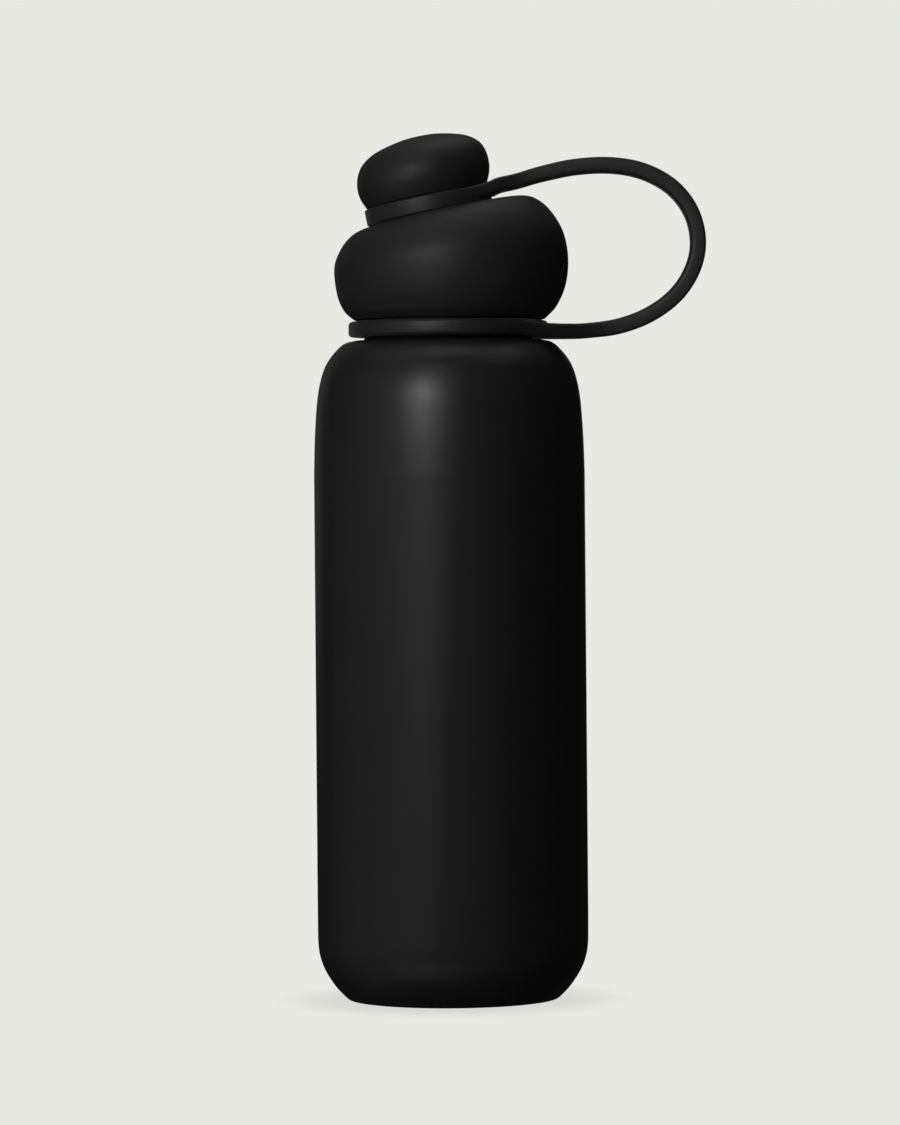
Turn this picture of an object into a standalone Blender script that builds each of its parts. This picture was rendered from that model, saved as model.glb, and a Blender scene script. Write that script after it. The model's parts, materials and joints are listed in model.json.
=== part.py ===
"""Insulated steel water bottle with a screw lid, a screw cap on a tilted spout and a silicone carry strap.

Run in Blender 4.5: blender --background --python part.py
Metres, +Z up. The origin is the centre of the bottle's foot; the strap's loop points to +X.
"""
import math

import bmesh
import bpy
from mathutils import Matrix, Vector

MM = 0.001
SEG = 32                       # segments round the outer turned pieces
CORE_SEG = 24                  # segments round the hidden inner ones
GAP = 0.3                      # clearance between neighbouring pieces, mm

# ---------------------------------------------------------------- bottle body, mm
BODY_R = 44.0
SHELL_WALL = 0.5
BASE_WALL = 0.6
BASE_SPLIT_Z = 20.9            # weld seam between shell and base cup
SHOULDER_Z = 170.0             # the straight wall ends here
NECK_R = 27.2
NECK_Z = 214.1                 # flat ring round the foot of the neck
BEAD_R = 28.0                  # keeps the strap's ring on the neck
BEAD_Z = 221.8
THREAD_CORE_R = 25.6
THREAD_CREST_R = 26.8
SHELL_TOP_Z = 232.9
LIP_Z = 233.9
MOUTH_R = 22.2
VESSEL_R = 39.2
VESSEL_WALL = 0.5
FOIL_T = 0.15
VESSEL_FLOOR_Z = 7.0
PAD_R = 30.9
PAD_T = 1.5

# ---------------------------------------------------------------- big lid thread, mm
LID_LEAD = 8.0
LID_STARTS = 2
LID_THREAD_Z = 224.2
LID_BORE_R = 27.1
LID_RIDGE_R = 25.95

# ---------------------------------------------------------------- big lid, mm
LID_Z = 220.8                  # underside
LID_PIVOT_X = -170.8           # the lid's sections fan out from a line through this point
LID_FAN = 11.67               # degrees between underside and top face
LID_OFFSET = 0.42              # sideways shift of the lowest section
LID_SIDE = 1.63                # further sideways shift of the sections above it
LID_WALL = 2.0
LID_CEILING_Z = 236.2
LID_CEILING_T = 2.0
LID_SKIRT_R = 29.6

# ---------------------------------------------------------------- tilted spout and small cap, mm
SPOUT_TILT = 11.0              # degrees, leaning to -X
SPOUT_X = -6.1                 # centre of the strap's small ring
SPOUT_Z = 257.75
SPOUT_R = 12.5
SPOUT_BORE_R = 10.5
SPOUT_CREST_R = 13.3
SPOUT_TOP = 6.6                # along the tilted axis, from the ring's centre
WELL_R = 17.6
WELL_FLOOR = -4.6
CAP_LEAD = 6.0
CAP_STARTS = 2
CAP_BORE_R = 13.6
CAP_RIDGE_R = 12.75
CAP_SKIRT_R = 14.9
CAP_FLANGE_R = 17.2
CAP_UNDERSIDE = 2.85
CAP_TOP = 22.95
CAP_WALL = 1.8

# ---------------------------------------------------------------- strap, mm
STRAP_W = 9.0
NECK_RING_R = 32.4
NECK_RING_BORE = 27.5
NECK_RING_Z = 217.98
NECK_RING_T = 4.65
CAP_RING_R = 20.7
CAP_RING_BORE = 15.2

BLACK_STEEL = (0.010, 0.010, 0.011)
BLACK_PLASTIC = (0.012, 0.012, 0.013)
SILICONE = (0.020, 0.020, 0.021)
STEEL = (0.56, 0.56, 0.55)


# ---------------------------------------------------------------- scene and helpers
def clear_scene():
    for obj in list(bpy.data.objects):
        bpy.data.objects.remove(obj, do_unlink=True)
    for coll in list(bpy.data.collections):
        bpy.data.collections.remove(coll)


def new_collection(name):
    coll = bpy.data.collections.new(name)
    bpy.context.scene.collection.children.link(coll)
    return coll


clear_scene()
PARTS = new_collection("insulated_water_bottle")
CUTTERS = new_collection("cutters")


def material(name, colour, roughness, metallic=0.0):
    mat = bpy.data.materials.new(name)
    mat.use_nodes = True
    shader = mat.node_tree.nodes["Principled BSDF"]
    shader.inputs["Base Color"].default_value = (*colour, 1.0)
    shader.inputs["Roughness"].default_value = roughness
    shader.inputs["Metallic"].default_value = metallic
    mat.diffuse_color = (*colour, 1.0)
    return mat


def add_object(name, mesh, mat=None, cutter=False):
    obj = bpy.data.objects.new(name, mesh)
    (CUTTERS if cutter else PARTS).objects.link(obj)
    if cutter:
        obj.hide_render = True
        obj.display_type = "WIRE"
    elif mat is not None:
        mesh.materials.append(mat)
    return obj


def finish_shading(obj, degrees=35.0):
    obj.data.shade_smooth()
    obj.data.set_sharp_from_angle(angle=math.radians(degrees))


def boolean(obj, tool, operation):
    mod = obj.modifiers.new(operation.lower() + "_" + tool.name, "BOOLEAN")
    mod.object = tool
    mod.operation = operation
    mod.solver = "EXACT"
    return mod


def smooth_line(points, per_span):
    """Points along a Catmull-Rom curve through the given (a, b) points."""
    ends = [tuple(2 * a - b for a, b in zip(points[0], points[1]))]
    tail = [tuple(2 * a - b for a, b in zip(points[-1], points[-2]))]
    ctrl = ends + list(points) + tail
    line = []
    for i in range(1, len(ctrl) - 2):
        p0, p1, p2, p3 = ctrl[i - 1], ctrl[i], ctrl[i + 1], ctrl[i + 2]
        for step in range(per_span):
            t = step / per_span
            line.append(tuple(
                0.5 * (2 * b + (c - a) * t + (2 * a - 5 * b + 4 * c - d) * t * t
                       + (3 * b - a - 3 * c + d) * t ** 3)
                for a, b, c, d in zip(p0, p1, p2, p3)))
    line.append(tuple(points[-1]))
    return line


def inset_line(line, distance):
    """The line moved sideways by a distance, to the axis side of a line that runs down."""
    out = []
    for i, point in enumerate(line):
        a = line[max(i - 1, 0)]
        b = line[min(i + 1, len(line) - 1)]
        dx, dz = b[0] - a[0], b[1] - a[1]
        length = math.hypot(dx, dz)
        out.append((point[0] + dz / length * distance, point[1] - dx / length * distance))
    return out


def turned(name, profile, mat=None, cutter=False, segments=SEG):
    """Closed (radius, height) outline in mm, turned about Z by a Screw modifier.

    The outline runs down its outer side and back up its inner side, or back along the axis.
    """
    mesh = bpy.data.meshes.new(name)
    verts = [(max(r, 0.0) * MM, 0.0, z * MM) for r, z in profile]
    closed = not (profile[0][0] <= 0 and profile[-1][0] <= 0)
    edges = [(i, i + 1) for i in range(len(verts) - 1)]
    if closed:
        edges.append((len(verts) - 1, 0))
    mesh.from_pydata(verts, edges, [])
    obj = add_object(name, mesh, mat, cutter)
    mod = obj.modifiers.new("turn", "SCREW")
    mod.axis = "Z"
    mod.angle = math.tau
    mod.steps = segments
    mod.render_steps = segments
    mod.use_merge_vertices = True
    mod.merge_threshold = 0.00001
    mod.use_smooth_shade = True
    return obj


def cylinder(name, radius, z0, z1, cutter=True, mat=None, segments=SEG):
    mesh = bpy.data.meshes.new(name)
    bm = bmesh.new()
    bmesh.ops.create_cone(bm, cap_ends=True, cap_tris=False, segments=segments,
                          radius1=radius * MM, radius2=radius * MM, depth=(z1 - z0) * MM)
    bmesh.ops.translate(bm, verts=bm.verts, vec=(0, 0, 0.5 * (z0 + z1) * MM))
    bm.to_mesh(mesh)
    bm.free()
    return add_object(name, mesh, mat, cutter)


def box(name, x0, x1, y0, y1, z0, z1):
    mesh = bpy.data.meshes.new(name)
    bm = bmesh.new()
    bmesh.ops.create_cube(bm, size=1.0)
    bmesh.ops.scale(bm, vec=((x1 - x0) * MM, (y1 - y0) * MM, (z1 - z0) * MM), verts=bm.verts)
    bmesh.ops.translate(bm, vec=(0.5 * (x0 + x1) * MM, 0.5 * (y0 + y1) * MM, 0.5 * (z0 + z1) * MM),
                        verts=bm.verts)
    bm.to_mesh(mesh)
    bm.free()
    return add_object(name, mesh, None, True)


def spun_form(name, profile, mapping, mat=None, cutter=False, segments=SEG):
    """Profile from the axis round to the axis, spun about Z, then each section moved by mapping."""
    mesh = bpy.data.meshes.new(name)
    bm = bmesh.new()
    verts = [bm.verts.new((r, 0.0, h)) for r, h in profile]
    edges = [bm.edges.new((a, b)) for a, b in zip(verts, verts[1:])]
    bmesh.ops.spin(bm, geom=verts + edges, cent=(0, 0, 0), axis=(0, 0, 1), dvec=(0, 0, 0),
                   angle=math.tau, steps=segments, use_merge=True, use_duplicate=False)
    bmesh.ops.remove_doubles(bm, verts=bm.verts, dist=0.001)
    for vert in bm.verts:
        vert.co = Vector(mapping(vert.co.x, vert.co.y, vert.co.z)) * MM
    bmesh.ops.recalc_face_normals(bm, faces=bm.faces)
    bm.to_mesh(mesh)
    bm.free()
    return add_object(name, mesh, mat, cutter)


def loft(name, sections, mat=None, cutter=False):
    """Closed body through rings of equal point counts, capped at both ends."""
    mesh = bpy.data.meshes.new(name)
    bm = bmesh.new()
    rings = [[bm.verts.new(Vector(p) * MM) for p in ring] for ring in sections]
    count = len(rings[0])
    for a, b in zip(rings, rings[1:]):
        for i in range(count):
            j = (i + 1) % count
            bm.faces.new((a[i], a[j], b[j], b[i]))
    bm.faces.new(list(reversed(rings[0])))
    bm.faces.new(rings[-1])
    bmesh.ops.recalc_face_normals(bm, faces=bm.faces)
    bm.to_mesh(mesh)
    bm.free()
    return add_object(name, mesh, mat, cutter)


def thread_ridge(name, root_r, crest_r, z0, lead, turns, start_deg, root_w, crest_w):
    """One start of a thread: a tapered-end trapezoid ridge along a right-hand helix."""
    steps = max(int(round(SEG * turns)), 6)
    taper = max(int(round(SEG / 18)), 2)
    inward = crest_r < root_r
    sections = []
    for i in range(steps + 1):
        turn = turns * i / steps
        angle = math.radians(start_deg) + math.tau * turn
        z = z0 + lead * turn
        height = min(1.0, 0.25 + 0.75 * min(i, steps - i) / taper)
        crest = root_r + (crest_r - root_r) * height
        half_root, half_crest = 0.5 * root_w, 0.5 * crest_w
        ring = [(root_r, z - half_root), (crest, z - half_crest), (crest, z + half_crest), (root_r, z + half_root)]
        if inward:
            ring.reverse()
        sections.append([(r * math.cos(angle), r * math.sin(angle), h) for r, h in ring])
    return loft(name, sections, cutter=True)


def ring_profile(bore, outer, z0, z1, corner=0.0, corner_steps=1):
    """Rounded-rectangle section of a ring, running down the outer side first."""
    if not corner:
        return [(outer, z1), (outer, z0), (bore, z0), (bore, z1)]
    pts = []
    for cx, cz, a0 in ((outer - corner, z1 - corner, 90), (outer - corner, z0 + corner, 0),
                       (bore + corner, z0 + corner, -90), (bore + corner, z1 - corner, -180)):
        for k in range(corner_steps + 1):
            a = math.radians(a0 - 90.0 * k / corner_steps)
            pts.append((cx + corner * math.cos(a), cz + corner * math.sin(a)))
    return pts


TILT = math.radians(SPOUT_TILT)
TILTED = Matrix.Translation((SPOUT_X * MM, 0.0, SPOUT_Z * MM)) @ Matrix.Rotation(-TILT, 4, "Y")


def place_tilted(obj):
    """Stands the object on the tilted spout axis, with its origin on that axis."""
    obj.matrix_world = TILTED
    return obj


def tilted_point(lateral, side, axial):
    return TILTED @ Vector((lateral * MM, side * MM, axial * MM)) / MM


# ---------------------------------------------------------------- materials
MAT = {
    "powder_coat": material("powder_coat", BLACK_STEEL, 0.55),
    "steel": material("steel", STEEL, 0.32, 1.0),
    "foil": material("foil", (0.62, 0.33, 0.20), 0.30, 1.0),
    "getter": material("getter", (0.22, 0.22, 0.23), 0.70, 1.0),
    "solder_glass": material("solder_glass", (0.16, 0.17, 0.15), 0.20),
    "lid_plastic": material("lid_plastic", BLACK_PLASTIC, 0.50),
    "liner_plastic": material("liner_plastic", (0.030, 0.030, 0.032), 0.42),
    "foam": material("foam", (0.78, 0.74, 0.62), 0.90),
    "clear_silicone": material("clear_silicone", (0.62, 0.63, 0.63), 0.45),
    "strap_silicone": material("strap_silicone", SILICONE, 0.52),
    "pad_silicone": material("pad_silicone", (0.016, 0.016, 0.017), 0.62),
}


# ---------------------------------------------------------------- bottle body
def shoulder_line(per_span=2):
    """Outer face from the foot of the neck down to the straight wall."""
    return smooth_line([(30.2, NECK_Z), (34.6, 212.75), (38.78, 208.1), (41.15, 203.0), (42.75, 195.0),
                        (43.6, 183.5), (BODY_R, SHOULDER_Z)], per_span)


def base_line(per_span=2):
    """Outer face of the base cup, from the seam down to the foot's rim."""
    return [(BODY_R, BASE_SPLIT_Z - GAP)] + smooth_line(
        [(43.85, 18.0), (43.1, 13.5), (41.3, 9.1), (38.2, 4.4), (35.15, 1.15), (34.0, GAP)], per_span)


def build_bottle():
    neck = [(THREAD_CORE_R - 0.4, SHELL_TOP_Z), (THREAD_CORE_R, SHELL_TOP_Z - 0.4),
            (THREAD_CORE_R, BEAD_Z + 1.0), (BEAD_R - 0.4, BEAD_Z + 0.7), (BEAD_R, BEAD_Z),
            (BEAD_R - 0.4, BEAD_Z - 0.6), (NECK_R, BEAD_Z - 0.9), (NECK_R, NECK_Z + 0.7), (NECK_R + 0.7, NECK_Z)]
    outer = neck + shoulder_line() + [(BODY_R, BASE_SPLIT_Z)]
    inner_neck_r = THREAD_CORE_R - SHELL_WALL - 0.1
    inner = inset_line(shoulder_line(1) + [(BODY_R, BASE_SPLIT_Z)], SHELL_WALL)
    inner = [(inner_neck_r, SHELL_TOP_Z), (inner_neck_r, NECK_Z - 0.4), (inner_neck_r + 1.2, NECK_Z - SHELL_WALL - 0.2)] + \
        [(r, z) for r, z in inner if r > inner_neck_r + 1.5]
    inner[-1] = (BODY_R - SHELL_WALL, BASE_SPLIT_Z)
    shell = turned("outer_shell", outer + list(reversed(inner)), MAT["powder_coat"])
    for k in range(LID_STARTS):
        ridge = thread_ridge("neck_thread_%d" % k, THREAD_CORE_R - 0.3, THREAD_CREST_R, LID_THREAD_Z, LID_LEAD,
                             0.86, 360.0 * k / LID_STARTS + 3.0, 2.0, 1.0)
        boolean(shell, ridge, "UNION")

    # base cup: recessed floor for the pad, small hole in the middle for drawing the vacuum
    out = base_line() + [(PAD_R + GAP, GAP), (PAD_R + GAP, PAD_T + GAP), (1.6, PAD_T + GAP)]
    floor = PAD_T + GAP + 0.9
    back = inset_line(base_line(1), BASE_WALL)
    back = [p for p in back if p[1] > 1.6]
    back[0] = (BODY_R - BASE_WALL, BASE_SPLIT_Z - GAP)
    turned("outer_base", out + [(1.6, floor), (PAD_R + 1.3, floor), (PAD_R + 1.3, 1.3), (34.0, 1.3)] +
           list(reversed(back)), MAT["powder_coat"])

    turned("vacuum_seal_bead", [(0.0, floor + 0.3), (0.8, floor + 0.15), (1.3, floor - 0.25), (1.3, PAD_T + GAP + 0.25),
                                (0.8, PAD_T + 0.45), (0.0, PAD_T + 0.35)], MAT["solder_glass"], segments=12)

    turned("base_pad", [(0.0, PAD_T), (PAD_R - 0.3, PAD_T), (PAD_R, PAD_T - 0.3), (PAD_R, 0.5), (PAD_R - 0.5, 0.0),
                        (0.0, 0.0)], MAT["pad_silicone"])

    # inner vessel: lip flange over the shell's top edge, neck, shoulder, wall and floor
    wall = smooth_line([(MOUTH_R + VESSEL_WALL, 215.5), (24.6, 212.2), (29.5, 209.4), (34.2, 205.8), (37.2, 199.5),
                        (38.7, 189.5), (VESSEL_R, 176.0)], 1)
    foot = smooth_line([(VESSEL_R, 22.0), (38.0, 13.5), (34.0, 8.6), (27.5, VESSEL_FLOOR_Z)], 1)
    outside = [(MOUTH_R + VESSEL_WALL, SHELL_TOP_Z + GAP)] + wall + foot + [(0.0, VESSEL_FLOOR_Z)]
    inside = inset_line(wall + foot, VESSEL_WALL)
    inside = [(MOUTH_R, SHELL_TOP_Z + GAP)] + [(MOUTH_R, 215.3)] + inside[1:] + [(0.0, VESSEL_FLOOR_Z + VESSEL_WALL)]
    lip = [(MOUTH_R, LIP_Z - 0.2), (MOUTH_R + 0.2, LIP_Z), (THREAD_CORE_R - 0.5, LIP_Z), (THREAD_CORE_R - 0.2, LIP_Z - 0.3),
           (THREAD_CORE_R - 0.2, SHELL_TOP_Z + GAP)]
    turned("inner_vessel", lip[1:] + outside + list(reversed(inside))[:-1] + [lip[0]], MAT["steel"], segments=CORE_SEG)

    turned("radiation_foil", [(VESSEL_R + GAP + FOIL_T, 168.0), (VESSEL_R + GAP + FOIL_T, 26.0), (VESSEL_R + GAP, 26.0),
                              (VESSEL_R + GAP, 168.0)], MAT["foil"], segments=CORE_SEG)
    getter = turned("getter", [(0.0, 6.7), (5.2, 6.7), (5.5, 6.4), (5.5, 5.4), (5.2, 5.1), (0.0, 5.1)],
                    MAT["getter"], segments=16)
    getter.location = (15.0 * MM, 0.0, 0.0)


# ---------------------------------------------------------------- big lid
LID_H = 35.2                   # height of the lid's profile along the fan, at the bottle's axis


def lid_profile(per_span=2):
    """(radius, height) of the lid, from its underside out and up to the rim of its top face."""
    return smooth_line([(31.35, 0.35), (34.45, 3.5), (37.1, 9.2), (38.25, 16.8), (37.45, 23.7), (34.5, 29.8),
                        (30.6, 33.45), (26.6, 34.95), (21.0, LID_H - 0.02)], per_span)


def lid_map(x, y, h):
    """Fans the lid's level sections out about a line across the bottle's left, and bulges them to the right."""
    share = h / LID_H
    angle = math.radians(LID_FAN) * share
    side = LID_OFFSET + LID_SIDE * math.sin(min(1.0, 1.9 * max(share, 0.0)) * math.pi / 2)
    reach = -LID_PIVOT_X + side + x
    return LID_PIVOT_X + reach * math.cos(angle), y, LID_Z + reach * math.sin(angle)


def lid_form(name, inset, mat=None, cutter=False):
    line = lid_profile(1 if inset else 2)
    if inset:
        line = [(r, min(max(h, inset), LID_H - inset)) for r, h in inset_line(line, -inset)]
        line = [p for i, p in enumerate(line) if i == 0 or math.hypot(p[0] - line[i - 1][0], p[1] - line[i - 1][1]) > 0.25]
        line = [(0.0, inset)] + line + [(0.0, LID_H - inset)]
    else:
        line = [(0.0, 0.0), (30.8, 0.0)] + line + [(0.0, LID_H)]
    return spun_form(name, line, lid_map, mat, cutter, CORE_SEG if inset else SEG)


def build_lid():
    # outer shell of the lid: hollow, open below, with a round well and a spout hole in its top
    shell = lid_form("lid_shell", 0.0, MAT["lid_plastic"])
    hollow = lid_form("lid_hollow", LID_WALL, cutter=True)
    throat = cylinder("lid_throat", LID_SKIRT_R + GAP, 214.0, 229.0)
    boolean(hollow, throat, "UNION")
    well_body = place_tilted(cylinder("lid_well_body", WELL_R + 1.6, WELL_FLOOR - 1.5, 14.0))
    boolean(hollow, well_body, "DIFFERENCE")
    boolean(shell, hollow, "DIFFERENCE")
    well = place_tilted(cylinder("lid_well", WELL_R, WELL_FLOOR, 14.5))
    boolean(shell, well, "DIFFERENCE")
    hole = place_tilted(cylinder("lid_spout_hole", SPOUT_R + GAP, -60.0, 15.0))
    boolean(shell, hole, "DIFFERENCE")
    finish_shading(shell)

    # liner: threaded skirt and ceiling, with the spout's hole through the ceiling
    top = LID_CEILING_Z + LID_CEILING_T
    liner = turned("lid_liner", [(0.0, top), (LID_SKIRT_R - 0.8, top), (LID_SKIRT_R, top - 0.8), (LID_SKIRT_R, LID_Z + 0.4),
                                 (BEAD_R + 0.4, LID_Z + 0.4), (BEAD_R + 0.4, BEAD_Z + 1.4), (LID_BORE_R, BEAD_Z + 1.9),
                                 (LID_BORE_R, LID_CEILING_Z), (0.0, LID_CEILING_Z)], MAT["liner_plastic"])
    for k in range(LID_STARTS):
        ridge = thread_ridge("lid_thread_%d" % k, LID_BORE_R + 0.3, LID_RIDGE_R, LID_THREAD_Z + 2.0 - 0.25, LID_LEAD,
                             0.62, 360.0 * k / LID_STARTS + 3.0 - 11.25, 2.0, 1.0)
        boolean(liner, ridge, "UNION")
    boolean(liner, hole, "DIFFERENCE")

    turned("lid_gasket", ring_profile(MOUTH_R + 0.8, THREAD_CORE_R + 0.9, LIP_Z + GAP, LID_CEILING_Z - GAP),
           MAT["clear_silicone"])

    # foam fills what is left between shell and liner
    foam = lid_form("lid_foam", LID_WALL + GAP, MAT["foam"])
    boolean(foam, box("foam_floor", -60, 60, -60, 60, 210.0, LID_Z + 3.0), "DIFFERENCE")
    boolean(foam, cylinder("foam_skirt", LID_SKIRT_R + GAP, 212.0, top + GAP), "DIFFERENCE")
    seat = cylinder("foam_flange", 18.9, top, top + 4.1)
    seat.location.x = -2.7 * MM
    boolean(foam, seat, "DIFFERENCE")
    boolean(foam, place_tilted(cylinder("foam_well", WELL_R + 1.9, WELL_FLOOR - 1.8, 16.0)), "DIFFERENCE")
    boolean(foam, hole, "DIFFERENCE")
    finish_shading(foam)


# ---------------------------------------------------------------- tilted spout
def build_spout():
    flange_z = LID_CEILING_Z + LID_CEILING_T + 2.0
    tube = turned("spout", [(SPOUT_BORE_R + 0.3, SPOUT_TOP), (SPOUT_R - 0.5, SPOUT_TOP), (SPOUT_R, SPOUT_TOP - 0.5),
                            (SPOUT_R, -26.0), (SPOUT_BORE_R, -26.0), (SPOUT_BORE_R, SPOUT_TOP - 0.3)], MAT["liner_plastic"])
    place_tilted(tube)
    for k in range(CAP_STARTS):
        ridge = place_tilted(thread_ridge("spout_thread_%d" % k, SPOUT_R - 0.3, SPOUT_CREST_R, -2.1, CAP_LEAD,
                                          0.85, 360.0 * k / CAP_STARTS + 3.0, 1.5, 0.7))
        boolean(tube, ridge, "UNION")
    plate = cylinder("spout_plate", 18.5, flange_z, flange_z + 1.8)
    plate.location.x = -2.7 * MM
    boolean(plate, place_tilted(cylinder("spout_plate_hole", SPOUT_R - 0.6, -40.0, 10.0)), "DIFFERENCE")
    boolean(tube, plate, "UNION")
    boolean(tube, box("spout_cut", -40, 40, -40, 40, 200.0, LID_CEILING_Z + 0.2), "DIFFERENCE")

    seal = turned("spout_seal", ring_profile(14.6, 18.0, flange_z - 1.7, flange_z - GAP), MAT["clear_silicone"])
    seal.location.x = -2.7 * MM


# ---------------------------------------------------------------- small cap
def cap_profile(per_span=2):
    """(radius, height) of the cap above its underside, up to the crown."""
    return smooth_line([(19.85, CAP_UNDERSIDE + 0.25), (21.28, 6.4), (21.87, 9.8), (21.2, 13.9), (18.95, 17.45),
                        (14.4, 20.25), (6.6, 22.3)], per_span)


def cap_map(x, y, h):
    """Leans the cap's upper sections over to the right."""
    lean = 0.03 + 1.25 * (max(h - 3.0, 0.0) / 17.0) ** 1.6
    return x + lean, y, h + (0.05 - 0.005 * x + 0.0009 * x * x) * min(max(h - 8.0, 0.0) / 8.0, 1.0)


def cap_form(name, inset, mat=None, cutter=False):
    line = cap_profile(1 if inset else 2)
    if inset:
        line = [(r, max(h, CAP_UNDERSIDE + inset)) for r, h in inset_line(line, -inset) if r > 0.5]
        line = [(0.0, CAP_UNDERSIDE + inset)] + line + [(0.0, CAP_TOP - inset)]
    else:
        line = [(0.0, CAP_UNDERSIDE), (19.3, CAP_UNDERSIDE)] + line + [(0.0, CAP_TOP)]
    obj = spun_form(name, line, cap_map, mat, cutter, CORE_SEG if inset else SEG)
    return place_tilted(obj)


def build_cap():
    base_t = 1.6
    shell = cap_form("cap_shell", 0.0, MAT["lid_plastic"])
    hollow = cap_form("cap_hollow", CAP_WALL, cutter=True)
    boolean(shell, hollow, "DIFFERENCE")
    boolean(shell, place_tilted(cylinder("cap_mouth", 18.2, 0.0, 6.5)), "DIFFERENCE")
    finish_shading(shell)

    ring = turned("cap_base_ring", ring_profile(CAP_SKIRT_R + GAP, 17.9, CAP_UNDERSIDE, CAP_UNDERSIDE + base_t),
                  MAT["lid_plastic"])
    place_tilted(ring)

    ceiling = 8.7
    liner = turned("cap_liner", [(0.0, ceiling + 1.6), (CAP_SKIRT_R - 0.4, ceiling + 1.6), (CAP_SKIRT_R, ceiling + 1.2),
                                 (CAP_SKIRT_R, -2.85), (CAP_FLANGE_R, -2.85), (CAP_FLANGE_R, -4.25), (CAP_BORE_R, -4.25),
                                 (CAP_BORE_R, ceiling), (0.0, ceiling)], MAT["liner_plastic"])
    place_tilted(liner)
    for k in range(CAP_STARTS):
        ridge = place_tilted(thread_ridge("cap_thread_%d" % k, CAP_BORE_R + 0.3, CAP_RIDGE_R, -2.1 + 1.5 - 0.5, CAP_LEAD,
                                          0.70, 360.0 * k / CAP_STARTS + 3.0 - 30.0, 1.5, 0.7))
        boolean(liner, ridge, "UNION")

    gasket = turned("cap_gasket", ring_profile(SPOUT_BORE_R - 1.2, CAP_BORE_R - 0.4, SPOUT_TOP + GAP, ceiling - GAP),
                    MAT["clear_silicone"])
    place_tilted(gasket)

    foam = cap_form("cap_foam", CAP_WALL + GAP, MAT["foam"])
    boolean(foam, place_tilted(cylinder("cap_foam_floor", 30.0, -1.0, CAP_UNDERSIDE + base_t + GAP)), "DIFFERENCE")
    boolean(foam, place_tilted(cylinder("cap_foam_core", CAP_SKIRT_R + GAP, -2.0, ceiling + 1.6 + GAP)), "DIFFERENCE")
    finish_shading(foam)


# ---------------------------------------------------------------- strap
def loop_line():
    """(x, z) centreline of the loop, from inside the neck ring round to inside the cap ring."""
    start = [(20.6, 216.95), (27.0, 216.75), (33.3, 216.65)]
    rise = [(45.0, 216.85), (55.45, 218.27), (65.42, 221.95), (73.85, 228.05), (79.4, 236.2), (81.4, 245.2),
            (79.4, 254.8), (73.45, 262.9), (64.35, 268.25), (53.8, 270.45), (41.8, 270.07), (30.5, 267.8), (22.7, 265.6)]
    root = [tilted_point(*p) for p in ((24.0, 0.0, 1.75), (21.2, 0.0, 0.95), (17.5, 0.0, 0.25), (12.9, 0.0, 0.0))]
    return smooth_line(start + rise + [(p.x, p.z) for p in root], 2)


def strap_thickness(share):
    """Full thickness along the loop: thinner where it leaves the rings, fullest on the two bends."""
    line = [(0.0, 4.4), (0.10, 4.5), (0.2, 4.9), (0.33, 5.2), (0.5, 5.0), (0.62, 5.15), (0.85, 5.1), (0.93, 4.5), (1.0, 4.4)]
    for (a, ta), (b, tb) in zip(line, line[1:]):
        if share <= b:
            return ta + (tb - ta) * (share - a) / (b - a)
    return line[-1][1]


def flare(distance, ring_r, slope):
    """Half width of the strap at a distance from a ring's centre: straight flanks that touch the ring, then the strap."""
    angle = math.atan2(1.0, slope)
    touch_x, touch_y = ring_r * math.cos(angle), ring_r * math.sin(angle)
    flank = touch_y - (distance - touch_x) / math.tan(angle) - 0.5 * STRAP_W
    return 0.5 * STRAP_W + 2.2 * math.log1p(math.exp(min(flank / 2.2, 30.0)))


def strap_section(half_w, half_t, corner):
    """Rounded rectangle: (side, up) points."""
    pts = []
    for sy, sz, a0 in ((1, 1, 0), (-1, 1, 90), (-1, -1, 180), (1, -1, 270)):
        for k in range(2):
            a = math.radians(a0 + 22.5 + 45.0 * k)
            pts.append((sy * (half_w - corner) + corner * math.cos(a), sz * (half_t - corner) + corner * math.sin(a)))
    return pts


def build_strap():
    turned("strap_neck_ring", ring_profile(NECK_RING_BORE, NECK_RING_R, NECK_RING_Z - 0.5 * NECK_RING_T,
                                           NECK_RING_Z + 0.5 * NECK_RING_T, 1.2), MAT["strap_silicone"])
    ring = turned("strap_cap_ring", ring_profile(CAP_RING_BORE, CAP_RING_R, -2.5, 2.5, 0.7), MAT["strap_silicone"])
    place_tilted(ring)

    line = loop_line()
    centre = Vector((SPOUT_X, 0.0, SPOUT_Z))
    sections = []
    for i, (x, z) in enumerate(line):
        a, b = line[max(i - 1, 0)], line[min(i + 1, len(line) - 1)]
        along = Vector((b[0] - a[0], 0.0, b[1] - a[1])).normalized()
        up = Vector((-along.z, 0.0, along.x))
        if i < len(line) / 2:
            half_w = flare(x, NECK_RING_R, 0.78)
        else:
            half_w = flare((Vector((x, 0.0, z)) - centre).length, CAP_RING_R, 0.745)
        sections.append([Vector((x, side, z)) + up * high
                         for side, high in strap_section(half_w, 0.5 * strap_thickness(i / (len(line) - 1)), 1.3)])
    loop = loft("strap_loop", sections, MAT["strap_silicone"])
    boolean(loop, cylinder("loop_neck_cut", NECK_RING_R + GAP, 208.0, 226.0), "DIFFERENCE")
    boolean(loop, place_tilted(cylinder("loop_cap_cut", CAP_RING_R + 0.6, -9.0, 9.0)), "DIFFERENCE")
    finish_shading(loop)


build_bottle()
build_lid()
build_spout()
build_cap()
build_strap()
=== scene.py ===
import json
import math

import bmesh
import bpy
import numpy as np
from mathutils import Matrix, Vector
from mathutils import noise as mnoise

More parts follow.
